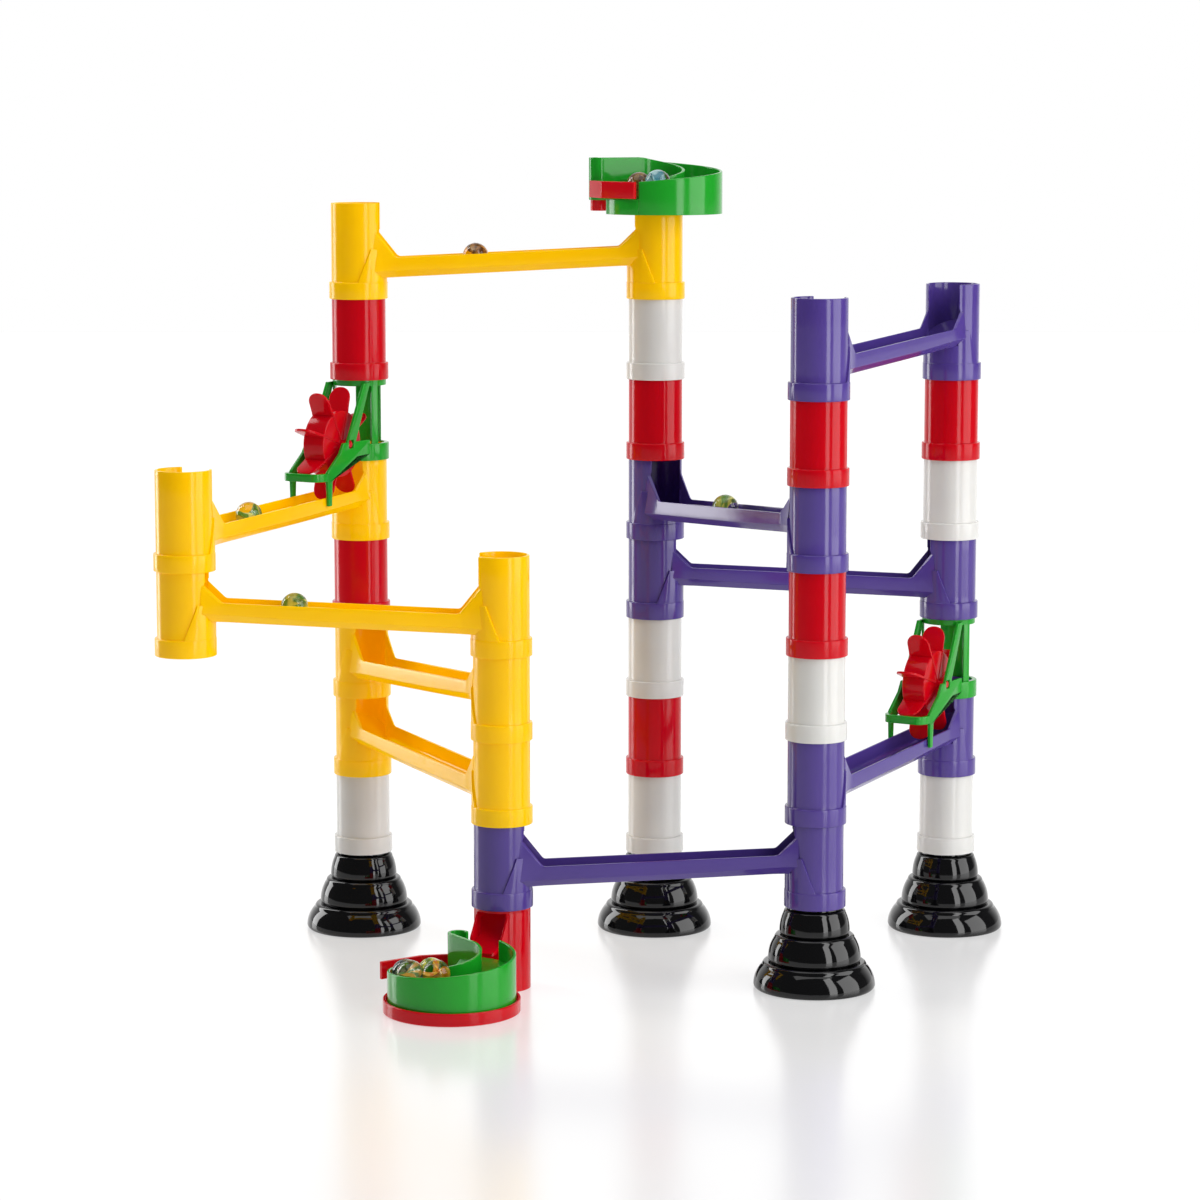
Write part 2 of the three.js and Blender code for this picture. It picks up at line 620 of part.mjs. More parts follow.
// A spiral tray with its gate and marbles, placed by the centre of its round wall.
function addTray(name, group, gateTurn, marbles) {
  addPiece(group, `${name}_tray`, 'green', shapes.tray, [0, 0, 0]);
  addPiece(group, `${name}_gate`, 'red', shapes.gate, [...GATE_PIVOT, 0], gateTurn);
  marbles.forEach(({ angle, radius, glass }, i) => {
    const [x, y] = [radius * Math.cos(radians(angle)), radius * Math.sin(radians(angle))];
    const rest = Math.max(rampHeight(angle), RAMP_LOW) + MARBLE_RADIUS + 2 * FIT_GAP;
    addPiece(group, `marble_${name}_${i + 1}`, glass, shapes.marble, [x, y, rest]);
  });
}

const startTray = groupAt([-HOLE_OFFSET, 0, levelHeight(8) + START_TRAY_LIFT], 0);
addTray('start', startTray, 0, START_MARBLES);

addPiece(run, 'spout_foot', 'red', spoutFoot(), [...COLUMNS.b, 0], DISH_DIRECTION);
const dishDirection = radians(DISH_DIRECTION);
const dishCentre = [
  COLUMNS.b[0] + DISH_REACH * Math.cos(dishDirection),
  COLUMNS.b[1] + DISH_REACH * Math.sin(dishDirection),
];
const endTray = groupAt([...dishCentre, DISH_FLOOR + FIT_GAP], END_TRAY_TURN);
addTray('end', endTray, END_GATE_OPEN, END_MARBLES);

// Move the footprint's middle to the origin.
const centre = new THREE.Box3().setFromObject(run, true).getCenter(new THREE.Vector3());
run.position.set(-centre.x, -centre.y, 0);

export default run;
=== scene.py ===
"""The looks of the marble run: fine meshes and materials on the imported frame.

Shapes are drawn in millimetres, each in its own piece's frame: the column's axis is Z, a channel runs
along +X, and a piece stands on z = 0. Wheels and marbles are drawn about their centres, and a gate about
its hub. Pieces are then placed in metres on the frame's own boxes.
"""

import json
import math

import bmesh
import bpy
from mathutils import Matrix, Vector

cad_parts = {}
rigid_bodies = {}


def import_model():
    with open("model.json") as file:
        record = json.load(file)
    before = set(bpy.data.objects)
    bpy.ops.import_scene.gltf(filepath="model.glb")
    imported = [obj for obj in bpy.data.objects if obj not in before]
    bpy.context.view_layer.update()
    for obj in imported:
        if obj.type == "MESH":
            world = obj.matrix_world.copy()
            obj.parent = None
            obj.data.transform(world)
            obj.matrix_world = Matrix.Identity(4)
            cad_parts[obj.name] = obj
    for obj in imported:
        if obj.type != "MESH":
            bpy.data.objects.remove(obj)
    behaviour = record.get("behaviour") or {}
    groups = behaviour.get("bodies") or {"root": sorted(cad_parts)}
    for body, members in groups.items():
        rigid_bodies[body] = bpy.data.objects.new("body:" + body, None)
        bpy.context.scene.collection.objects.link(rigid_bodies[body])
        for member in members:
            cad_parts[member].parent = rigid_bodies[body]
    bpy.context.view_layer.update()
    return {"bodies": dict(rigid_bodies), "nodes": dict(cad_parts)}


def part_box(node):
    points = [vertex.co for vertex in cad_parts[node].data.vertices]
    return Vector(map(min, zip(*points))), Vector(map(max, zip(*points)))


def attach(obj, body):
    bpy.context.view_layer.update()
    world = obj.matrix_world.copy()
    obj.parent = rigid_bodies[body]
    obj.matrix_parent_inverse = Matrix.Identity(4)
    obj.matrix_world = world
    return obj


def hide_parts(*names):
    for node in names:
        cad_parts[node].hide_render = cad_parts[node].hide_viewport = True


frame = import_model()

MM = 0.001

# Round surfaces' sides, a plain edge's radius and the steps round it, and the sharpest smooth angle.
SEGMENTS = 96
EDGE = 0.4
EDGE_STEPS = 4
SHARP_ANGLE = 38

# How close to its axis a turned outline comes, and how close corners are that are joined, in metres.
NEAR_AXIS = 0.02
WELD = 1e-6

# The distance between two columns that a channel joins.
TRACK_SPAN = 185

# Tubes.
TUBE_RADIUS = 16.75
BORE_RADIUS = 15.25
SOCKET_RADIUS = 17.05
COLLAR_RADIUS = 18.25
COLLAR_HEIGHT = 10.6
SOCKET_DEPTH = 9.6
TENON_TOP = 59.3
FOOT_TENON_TOP = 58.3

# Channels. The underside slopes down all the way, its chamfers shrink over CHAMFER_RUN, and the
# sides flare out towards both tubes. START_UNDERSIDE is the height at UNDERSIDE_FROM.
CHANNEL_HALF = 12.1
CHANNEL_INNER_HALF = 10.8
FLOOR_THICKNESS = 2.2
INNER_FILLET = 3
CHAMFER, START_CHAMFER_EXTRA = 4, 1.4
CHAMFER_RUN = (12, 87)
FLARE, FLARE_START, FLARE_LENGTH = 2.2, 11, 14
START_UNDERSIDE, UNDERSIDE_FROM = 20.5, 18
UNDERSIDE_SLOPE = 7 / 147.5
START_RIM, END_RIM = 32.3, 25.8
START_WEB_TOP, END_WEB_TOP = 44, 42.5
START_WEB_REACH, END_WEB_REACH = 22, 23.5
SLOT_HALF = 10.3
DEFLECTOR_TOP = 36.5
DRAIN_HALF = 2.5
DRAIN_FROM, DRAIN_TO = 98, 155
PAD_RADIUS = 18
PAD_TOP = 31
PAD_LEVEL_ANGLE, PAD_END_ANGLE = 60, 89

# Bell feet: bottom, top, radius at the top and widest radius of each ring.
FOOT_RINGS = [(0, 15.8, 29.0, 36.2), (15.8, 32.3, 22.3, 27.6), (32.3, 47.5, 17.4, 20.9)]

# Wheel frames and wheels.
FRAME_RING_BOTTOM = 46.4
POST_ANGLES = [(60, 78), (160, 222), (282, 300)]
ARM_INNER, ARM_OUTER = 12.4, 14.6
ARM_TOP = 13.3
BUMPER_TOP, BUMPER_BOTTOM = -3.9, -8.8
BUMPER_THICKNESS = 2.7
BUMPER_PLAN = [(55, 13.4), (61, 12.9), (65.4, 10.5), (65.4, -10.5), (61, -12.9), (55, -13.4)]
LEG_INNER, LEG_OUTER = 51.5, 57
LEG_BOTTOM = -24.2
NOTCH_LEFT, NOTCH_RIGHT = 28.4, 33.6
NOTCH_BOTTOM, NOTCH_TOP = 9.4, 14.6
WHEEL_RADIUS = 35.8
DRUM_RADIUS = 20.5
WHEEL_HALF_WIDTH = 8
AXLE_RADIUS = 2
AXLE_HALF_LENGTH = 14
PADDLES = 8
FIRST_PADDLE_ANGLE = 18
PADDLE_HALF_THICKNESS = 0.7
PADDLE_TIP = 7.4

# Spiral trays. Angles are round the tray's wall.
TRAY_RADIUS = 37.3
TRAY_WALL = 1.8
RAMP_FROM, RAMP_TO = 246, 486
GAP_FROM, ENTRY_TO = 200, 526
RAMP_LOW = 9.3
RAMP_RISE = 12
OUTER_WALL_LOW = 20.3
OUTER_WALL_RISE = 0.054
HOLE_OFFSET = -4
HOLE_RADIUS = 9.5
INNER_WALL_RADIUS = 17
INNER_WALL_LOW, INNER_WALL_HIGH = 22.5, 34.5
GATE_PIVOT = (-39.3, 6.5)
GATE_PIN_RADIUS = 2.6
GATE_HUB_RADIUS = 5.3
GATE_BOTTOM, GATE_TOP = 9.9, 20.3
GATE_PATH = [(-44.2, 4), (-36.8, -15.5), (-17.3, -35.3)]
GATE_THICKNESS = 2.6
GATE_HUB_BOTTOM = 1.6
CURL_BOTTOM = 20.7
CURL_RADIUS = 5.4
START_TRAY_OFFSET = 4

# Spout foot.
DISH_DIRECTION = -116
DISH_REACH = 63.5
DISH_RADIUS = 40
DISH_RIM = 7.5
DISH_FLOOR = 2
END_TRAY_TURN = -84
END_GATE_TURN = -15
CHEEK_HALF = 10.75
CHEEK_REACH = 21
MOUTH_TOP = 47.5
CHUTE_TOP = 46.5
LIP_REACH = 28.5
LIP_HALF = 8
LIP_HEIGHT = 24.8
CHUTE_BACK = -15.2

# Marbles, and the coloured vanes inside them.
MARBLE_RADIUS = 8
MARBLE_ROWS, MARBLE_SEGMENTS = 32, 64
VANE_HALF_LENGTH = 6.4
VANE_RADIUS = 6.9
VANE_CORE = 0.5
VANE_STEPS = 28
VANE_TILT = 62

# How far each marble's vane is turned past the one before, in radians.
VANE_TURN = 1.1

# The camera: its place from column d's foot in millimetres, its pitch in degrees, its lens and sensor in
# millimetres, and how far it sees in metres.
CAMERA_PLACE = (-34.65, -2268.8, 522.6)
CAMERA_PITCH = 7.86
CAMERA_LENS = 109.08
CAMERA_SENSOR = 36
CAMERA_CLIP_END = 50

# The studio: half the floor's side, how far it lies below the feet and the height that the softboxes
# are aimed at, all in metres, then how much the floor glows and how bright the surroundings are.
FLOOR_HALF_SIZE, FLOOR_DROP, SOFTBOX_AIM = 6, 0.0004, 0.25
FLOOR_GLOW = 0.47
WORLD_FRONT, WORLD_STRENGTH = 0.09, 1.1

# The moulded surface's orange peel, and how much painted glow the coloured glass in a marble gives off to
# lighten it inside the glass.
PEEL_STRENGTH, PEEL_DISTANCE = 0.01, 0.002
SWIRL_PAINTED_GLOW = 0.06

# Each channel's starting column and its direction in degrees, and then each wheel frame's.
TRACKS = {
    "track_1_yellow": ("d", 180),
    "track_2_yellow": ("a", -120),
    "track_3_yellow": ("c", 0),
    "track_4_yellow": ("b", 120),
    "track_5_yellow": ("a", -60),
    "track_6_purple": ("e", 180),
    "track_7_purple": ("f", -120),
    "track_8_purple": ("d", 0),
    "track_9_purple": ("e", 120),
    "track_10_purple": ("f", -120),
}
FRAMES = {"upper": ("a", -120), "lower": ("f", -120)}


# --- Outlines -----------------------------------------------------------------------------


def fillet(outline, radius, closed=True):
    """The outline with its corners rounded, by one radius or by one for each corner."""
    radii = radius if isinstance(radius, list) else [radius] * len(outline)
    rounded = []
    for i, (point, r) in enumerate(zip(outline, radii)):
        if r == 0 or (not closed and i in (0, len(outline) - 1)):
            rounded.append(tuple(point))
            continue
        here = Vector(point)
        before = Vector(outline[i - 1]) - here
        after = Vector(outline[(i + 1) % len(outline)]) - here
        reach = r / math.tan(before.angle(after) / 2)
        reach = min(reach, before.length * 0.48, after.length * 0.48)
        start = here + before.normalized() * reach
        end = here + after.normalized() * reach
        for step in range(EDGE_STEPS + 1):
            t = step / EDGE_STEPS
            rounded.append(tuple(start.lerp(here, t).lerp(here.lerp(end, t), t)))
    return rounded


def inset(outline, distance):
    """A counter-clockwise outline, moved inwards."""
    if distance == 0:
        return outline
    moved = []
    for i, (x, y) in enumerate(outline):
        along = Vector(outline[(i + 1) % len(outline)]) - Vector(outline[i - 1])
        along.normalize()
        moved.append((x - along.y * distance, y + along.x * distance))
    return moved


def eased(start, end, steps, lead, edge=EDGE):
    """Spots from start to end, each with an inset, so that both ends come out rounded."""
    near, far = start + lead, end - lead
    spots = [(near + (far - near) * i / steps, 0) for i in range(steps + 1)]
    round_in = [(start, edge), (start + lead * 0.12, edge * 0.5), (start + lead * 0.45, edge * 0.15)]
    round_out = [(end - lead * 0.45, edge * 0.15), (end - lead * 0.12, edge * 0.5), (end, edge)]
    return round_in + spots + round_out


def polar(radius, angle, centre=(0, 0)):
    """The point at that radius and angle in degrees."""
    turn = math.radians(angle)
    return centre[0] + radius * math.cos(turn), centre[1] + radius * math.sin(turn)


def blend_path(points, x):
    """The height of a line through (x, height) points."""
    for (x0, z0), (x1, z1) in zip(points, points[1:]):
        if x <= x1:
            return z0 + (z1 - z0) * max(x - x0, 0) / (x1 - x0)
    return points[-1][1]


# --- Shells: lists of corners and faces ---------------------------------------------------


def loft(sections, ring=False):
    """A surface through closed sections with equal numbers of corners, capped unless it is a ring."""
    count, total = len(sections[0]), len(sections)
    corners = [tuple(point) for section in sections for point in section]
    faces = []
    for s in range(total if ring else total - 1):
        a, b = s * count, (s + 1) % total * count
        for k in range(count):
            after = (k + 1) % count
            faces.append((a + k, a + after, b + after, b + k))
    if not ring:
        faces.append(tuple(range(count - 1, -1, -1)))
        faces.append(tuple(range((total - 1) * count, total * count)))
    return corners, faces


def turned(outline, segments=SEGMENTS, centre=(0, 0)):
    """A closed outline of (radius, height), turned about an upright axis."""
    sections = []
    for i in range(segments):
        angle = 360 * i / segments
        sections.append([(*polar(r, angle, centre), z) for r, z in outline])
    return loft(sections, ring=True)


def disc(radius, bottom, top, centre=(0, 0), edge=EDGE):
    """A solid round plate or pin. Its outline stops just short of the axis."""
    outline = [(NEAR_AXIS, bottom), (radius, bottom), (radius, top), (NEAR_AXIS, top)]
    return turned(fillet(outline, [0, edge, edge, 0]), centre=centre)


def arc_wall(outline_at, start, end, radius, step=3):
    """Part of a ring, with an outline of (radius, height) at each angle and rounded ends."""
    steps = max(2, round((end - start) / step))
    sections = []
    for angle, inward in eased(start, end, steps, math.degrees(EDGE / radius)):
        sections.append([(*polar(r, angle), z) for r, z in inset(outline_at(angle), inward)])
    return loft(sections)


def plate(outline, near, far, edge=EDGE):
    """An upright plate from an outline of (x, z), between two values of y, with rounded edges."""
    sections = []
    for y, inward in eased(near, far, 1, edge, edge):
        sections.append([(x, y, z) for x, z in inset(outline, inward)])
    return loft(sections)


def slab(outline, bottom, top, edge=EDGE):
    """A level plate from an outline of (x, y)."""
    sections = []
    for z, inward in eased(bottom, top, 1, edge, edge):
        sections.append([(x, y, z) for x, y in inset(outline, inward)])
    return loft(sections)


def open_ring(gap_half, inward):
    """The plan of a tube wall with a gap of that half width on its +X side."""
    outer, inner = TUBE_RADIUS - inward, BORE_RADIUS + inward
    gap = gap_half + inward
    outer_gap = math.degrees(math.asin(gap / outer))
    inner_gap = math.degrees(math.asin(gap / inner))
    steps = 80
    outside = [polar(outer, outer_gap + (360 - 2 * outer_gap) * i / steps) for i in range(steps + 1)]
    inside = [polar(inner, inner_gap + (360 - 2 * inner_gap) * i / steps) for i in range(steps + 1)]
    plan = outside + inside[::-1]
    radii = [0] * len(plan)
    for corner in (0, steps, steps + 1, 2 * steps + 1):
        radii[corner] = EDGE
    return fillet(plan, radii)


def open_tube(bottom, levels):
    """A tube wall with a gap on its +X side, from a bottom up through (height, gap half width) levels."""
    spots = [(bottom, levels[0][1], 0)]
    for (height, gap), (_, gap_above) in zip(levels, levels[1:]):
        spots += [(height - 0.2, gap, 0), (height + 0.2, gap_above, 0)]
    top, gap = levels[-1]
    spots += [(top - 0.5, gap, 0), (top - 0.2, gap, 0.08), (top - 0.05, gap, 0.2), (top, gap, 0.4)]
    return loft([[(x, y, z) for x, y in open_ring(gap, inward)] for z, gap, inward in spots])


def ribbon(path, thickness, bottom):
    """An upright wall with rounded edges, along a plan path of (x, y, top) points."""
    sections = []
    last = len(path) - 1
    for i, (x, y, top) in enumerate(path):
        before, after = path[max(i - 1, 0)], path[min(i + 1, last)]
        run = Vector((after[0] - before[0], after[1] - before[1])).normalized()
        half = thickness / 2 if 0 < i < last else thickness / 2 - EDGE / 2
        outline = fillet([(-half, bottom), (half, bottom), (half, top), (-half, top)], EDGE)
        sections.append([(x - run.y * s, y + run.x * s, z) for s, z in outline])
    return loft(sections)


def placed(shell, turn=0, at=(0, 0, 0), axis="Z"):
    """The shell, turned about an axis through its own origin and then moved."""
    matrix = Matrix.Translation(at) @ Matrix.Rotation(math.radians(turn), 4, axis)
    corners, faces = shell
    return [tuple(matrix @ Vector(corner)) for corner in corners], faces


def outward(shell):
    """The shell with its faces turned to the outside."""
    corners, faces = shell
    volume = 0
    for first, *others in faces:
        start = Vector(corners[first])
        for j, k in zip(others, others[1:]):
            volume += start.dot(Vector(corners[j]).cross(Vector(corners[k])))
    return shell if volume > 0 else (corners, [face[::-1] for face in faces])


def merged(shells):
    """Several shells as one, all facing outwards."""
    corners, faces = [], []
    for shell_corners, shell_faces in map(outward, shells):
        start = len(corners)
        corners += shell_corners
        faces += [tuple(start + k for k in face) for face in shell_faces]
    return corners, faces


# --- Tubes and feet -----------------------------------------------------------------------


def collared_wall(top, edge=EDGE):
    """The wall of a tube with a collar, from its socket up to a top with that edge."""
    return turned(fillet([
        (SOCKET_RADIUS, 0), (COLLAR_RADIUS, 0), (COLLAR_RADIUS, COLLAR_HEIGHT),
        (TUBE_RADIUS, COLLAR_HEIGHT), (TUBE_RADIUS, top), (BORE_RADIUS, top),
        (BORE_RADIUS, SOCKET_DEPTH), (SOCKET_RADIUS, SOCKET_DEPTH),
    ], [0.3, 0.6, 0.7, 0.25, edge, edge, 0.2, 0.2]))


def straight_tube():
    return [collared_wall(TENON_TOP)]


def ring_profile(bottom, top, neck, widest):
    """One conical ring of a foot, widest near its bottom and rounded over into a groove at its top."""
    height = top - bottom
    points = [(widest - 1.1, bottom + 0.05), (widest - 0.35, bottom + height * 0.05)]
    for step in range(13):
        along = 0.12 + 0.76 * step / 12
        points.append((widest - (widest - neck) * along**2.4, bottom + height * along))
    shoulder, edge = points[-1]
    for step in range(1, 9):
        turn = math.pi / 2 * step / 8
        points.append((shoulder - 2.2 * (1 - math.cos(turn)), edge + (top - edge) * math.sin(turn)))
    return points


def bell_foot():
    outline = []
    for bottom, top, neck, widest in FOOT_RINGS:
        outline += ring_profile(bottom, top, neck, widest)
    outline += [(16.9, 48.2), (TUBE_RADIUS, 49)]
    outline += fillet([
        (TUBE_RADIUS, 50), (TUBE_RADIUS, FOOT_TENON_TOP), (BORE_RADIUS, FOOT_TENON_TOP), (BORE_RADIUS, 50),
    ], [0, EDGE, EDGE, 0])
    outline += [(BORE_RADIUS, 35), (15.6, 33), (19.8, 22), (20.3, 17), (26.8, 6), (32.4, 0.6), (33.4, 0)]
    return [turned(outline)]


# --- Channels -----------------------------------------------------------------------------


def underside(x):
    return START_UNDERSIDE - (x - UNDERSIDE_FROM) * UNDERSIDE_SLOPE


def channel_floor(x):
    return underside(x) + FLOOR_THICKNESS


def slot_half_width(x):
    """Half the drain slot's width, which comes down to 0 at its round ends."""
    past = max(DRAIN_FROM + DRAIN_HALF - x, x - DRAIN_TO + DRAIN_HALF, 0)
    return math.sqrt(max(DRAIN_HALF**2 - past**2, 0))


def channel_section(x, rim):
    """Half the channel's outline of (y, z), wider by the tubes, chamfered below and rounded inside."""
    low, floor, slot = underside(x), channel_floor(x), slot_half_width(x)
    run_start, run_end = CHAMFER_RUN
    run_left = max(0, 1 - (x - run_start) / (run_end - run_start))
    chamfer = CHAMFER + START_CHAMFER_EXTRA * run_left**1.5
    past_tube = min(x, TRACK_SPAN - x) - FLARE_START
    flare = FLARE * max(0, 1 - past_tube / FLARE_LENGTH) ** 2
    outer, inner = CHANNEL_HALF + flare, CHANNEL_INNER_HALF
    outline = [
        (slot, low), (outer - chamfer, low), (outer, low + chamfer), (outer - flare * 0.8, rim),
        (inner, rim), (inner, floor), (slot, floor),
    ]
    return fillet(outline, [0, 0.8, 0.8, EDGE, EDGE, INNER_FILLET, 0])


def channel_stations(side):
    """Where the channel's outlines are drawn: (x, rim) from one tube's wall to the other's."""
    line = fillet([
        (side, START_WEB_TOP - 0.6), (START_WEB_REACH, START_RIM),
        (TRACK_SPAN - END_WEB_REACH, END_RIM), (TRACK_SPAN - side, END_WEB_TOP - 0.6),
    ], 4, closed=False)
    spots = {x for x, _ in line} | {float(x) for x in range(math.ceil(side), int(TRACK_SPAN - side), 4)}
    for step in range(9):
        bite = DRAIN_HALF * (1 - math.cos(math.pi / 2 * step / 8))
        spots |= {DRAIN_FROM + bite, DRAIN_TO - bite}
    return [(x, blend_path(line, x)) for x in sorted(spots)]


def channel_halves():
    """The channel's left and right halves, which meet along its middle except at the slot."""
    wall = (TUBE_RADIUS + BORE_RADIUS) / 2

    def reach(y):
        return math.sqrt(wall**2 - min(abs(y), CHANNEL_HALF) ** 2)

    side = reach(CHANNEL_HALF)
    sections = []
    for x, rim in channel_stations(side):
        share = (x - side) / (TRACK_SPAN - 2 * side)
        sections.append([
            (reach(y) + share * (TRACK_SPAN - 2 * reach(y)), y, z) for y, z in channel_section(x, rim)
        ])
    corners, faces = loft(sections)
    return [(corners, faces), ([(x, -y, z) for x, y, z in corners], [face[::-1] for face in faces])]


def track_tube(floor, web_top):
    """An end tube of a channel, open on the channel's side from its floor up."""
    levels = [(web_top, CHANNEL_INNER_HALF), (TENON_TOP, SLOT_HALF)]
    return [collared_wall(floor, 0), open_tube(floor, levels)]


def channel_pad(floor):
    """The thicker wall below a channel's end, which slants down to the collar at the sides."""
    side = math.degrees(math.asin(CHANNEL_INNER_HALF / PAD_RADIUS))
    line = [
        (0, floor - 1), (side, floor - 1), (side + 1, PAD_TOP),
        (PAD_LEVEL_ANGLE, PAD_TOP), (PAD_END_ANGLE, COLLAR_HEIGHT - 1),
    ]

    def outline(angle):
        top = blend_path(line, abs(angle))
        corners = [(TUBE_RADIUS - 0.4, 6), (PAD_RADIUS, 6), (PAD_RADIUS, top), (TUBE_RADIUS - 0.4, top)]
        return fillet(corners, [0, 0, 0.5, 0])

    return arc_wall(outline, -PAD_END_ANGLE, PAD_END_ANGLE, PAD_RADIUS, step=1)


def deflector():
    """The sloping plate that turns a falling marble into the channel."""
    reach = BORE_RADIUS + 0.3
    low = channel_floor(reach) - 0.3
    sections = []
    for i in range(25):
        x = -reach + 2 * reach * i / 24
        half = math.sqrt(max(reach**2 - x**2, 0.3))
        top = DEFLECTOR_TOP + (low - DEFLECTOR_TOP) * (x + reach) / (2 * reach)
        sections.append([(x, -half, top - 1.8), (x, half, top - 1.8), (x, half, top), (x, -half, top)])
    return loft(sections)


def channel_ends():
    start_floor = channel_floor(TUBE_RADIUS)
    end_floor = channel_floor(TRACK_SPAN - TUBE_RADIUS)
    far = (TRACK_SPAN, 0, 0)
    end_tube = [placed(shell, 180, far) for shell in track_tube(end_floor, END_WEB_TOP)]
    return [
        *track_tube(start_floor, START_WEB_TOP), *end_tube, deflector(),
        channel_pad(start_floor), placed(channel_pad(end_floor), 180, far),
    ]


# --- Wheel frames and wheels --------------------------------------------------------------


def wheel_frame():
    """The ring above, the slotted collar below, the posts between them and the arms."""
    ring = fillet([
        (BORE_RADIUS, FRAME_RING_BOTTOM), (TUBE_RADIUS, FRAME_RING_BOTTOM), (TUBE_RADIUS, TENON_TOP),
        (BORE_RADIUS, TENON_TOP),
    ], EDGE)
    collar = fillet([
        (SOCKET_RADIUS, 0), (COLLAR_RADIUS, 0), (COLLAR_RADIUS, COLLAR_HEIGHT),
        (BORE_RADIUS, COLLAR_HEIGHT), (BORE_RADIUS, SOCKET_DEPTH), (SOCKET_RADIUS, SOCKET_DEPTH),
    ], [0.3, 0.5, 0.6, 0.2, 0.2, 0.2])
    gap = math.degrees(math.asin(SLOT_HALF / COLLAR_RADIUS))
    post = fillet([
        (BORE_RADIUS, COLLAR_HEIGHT - 1), (TUBE_RADIUS, COLLAR_HEIGHT - 1),
        (TUBE_RADIUS, FRAME_RING_BOTTOM + 1), (BORE_RADIUS, FRAME_RING_BOTTOM + 1),
    ], 0.2)
    shells = [turned(ring), arc_wall(lambda angle: collar, gap, 360 - gap, COLLAR_RADIUS)]
    for start, end in POST_ANGLES:
        shells.append(arc_wall(lambda angle: post, start, end, TUBE_RADIUS))
    return shells + frame_arms()


def frame_arms():
    """The arms with their axle notches, the struts up to the ring, the legs and the bumper."""
    arm = fillet([
        (10, 4.2), (24.6, 3.7), (LEG_INNER, -9), (LEG_INNER + 1, -10.4), (LEG_OUTER, -10.4),
        (LEG_OUTER, -3.6), (43.2, 7), (39, ARM_TOP), (NOTCH_RIGHT, ARM_TOP), (NOTCH_RIGHT, NOTCH_BOTTOM),
        (NOTCH_LEFT, NOTCH_BOTTOM), (NOTCH_LEFT, ARM_TOP), (10, ARM_TOP),
    ], [0.5, 3, 0.8, 0.5, 0.5, 2, 4, 1.5, 0.6, 1.2, 1.2, 0.6, 0.5])
    foot = ARM_TOP - 0.5
    strut = [
        (9.5, 48.5), (26, foot), (NOTCH_LEFT, foot), (NOTCH_LEFT, NOTCH_TOP), (NOTCH_RIGHT, NOTCH_TOP),
        (NOTCH_RIGHT, foot), (35.2, foot), (16.2, 48.5),
    ]
    leg = fillet([
        (LEG_INNER + 0.2, -8), (LEG_INNER + 1, LEG_BOTTOM), (LEG_OUTER - 1, LEG_BOTTOM),
        (LEG_OUTER - 0.2, -8),
    ], 0.6)
    plan = fillet(BUMPER_PLAN, 4, closed=False)
    shells = [ribbon([(x, y, BUMPER_TOP) for x, y in plan], BUMPER_THICKNESS, BUMPER_BOTTOM)]
    for near, far in ((ARM_INNER, ARM_OUTER), (-ARM_OUTER, -ARM_INNER)):
        shells.append(plate(arm, near, far))
        shells += [plate(outline, near + 0.1, far - 0.1) for outline in (strut, leg)]
    return shells


def paddle_outline():
    """A tongue from the axle out along +X, straight-sided with a round tip."""
    half = WHEEL_HALF_WIDTH - 0.1
    shoulder = WHEEL_RADIUS - PADDLE_TIP
    side = [(3, -half), (DRUM_RADIUS, -half), (DRUM_RADIUS + 3, -half + 0.3), (shoulder, -half + 0.5)]
    tip = []
    for turn in range(8, 90, 8):
        angle = math.radians(turn)
        tip.append((shoulder + PADDLE_TIP * math.sin(angle), (0.5 - half) * math.cos(angle) ** 0.85))
    near = side + tip
    return near + [(WHEEL_RADIUS, 0)] + [(x, -y) for x, y in reversed(near)]


def paddle_wheel():
    """The wheel about its axle, which lies along Y, with paddles a little proud of the drum's sides."""
    wide = WHEEL_HALF_WIDTH - 0.45
    upright = [
        disc(DRUM_RADIUS, -wide, wide, edge=0.8), disc(AXLE_RADIUS, -AXLE_HALF_LENGTH, AXLE_HALF_LENGTH),
    ]
    shells = [placed(shell, 90, axis="X") for shell in upright]
    paddle = slab(paddle_outline(), -PADDLE_HALF_THICKNESS, PADDLE_HALF_THICKNESS, 0.3)
    for k in range(PADDLES):
        shells.append(placed(paddle, -(FIRST_PADDLE_ANGLE + 360 / PADDLES * k), axis="Y"))
    return shells


# --- Trays --------------------------------------------------------------------------------


def ramp_height(angle):
    """The ramp's height, which rises less and less towards the high end."""
    along = min(max((angle - RAMP_FROM) / (RAMP_TO - RAMP_FROM), 0), 1)
    return RAMP_LOW + RAMP_RISE * (1 - (1 - along) ** 2)


def inner_wall_path():
    """The wall round the hole, out to the gate's pivot and round it, as (x, y, top)."""
    plan = [polar(INNER_WALL_RADIUS, angle, (HOLE_OFFSET, 0)) for angle in range(-75, 119, 4)]
    beside = len(plan)
    out = Vector(plan[-1])
    curl = [polar(CURL_RADIUS, angle, GATE_PIVOT) for angle in range(-60, -261, -10)]
    middle = [tuple(out.lerp(Vector(curl[0]), i / 8)) for i in range(1, 8)]
    plan += middle + curl
    rise = (INNER_WALL_HIGH - INNER_WALL_LOW) / beside
    return [(x, y, INNER_WALL_LOW + rise * min(i, beside)) for i, (x, y) in enumerate(plan)]


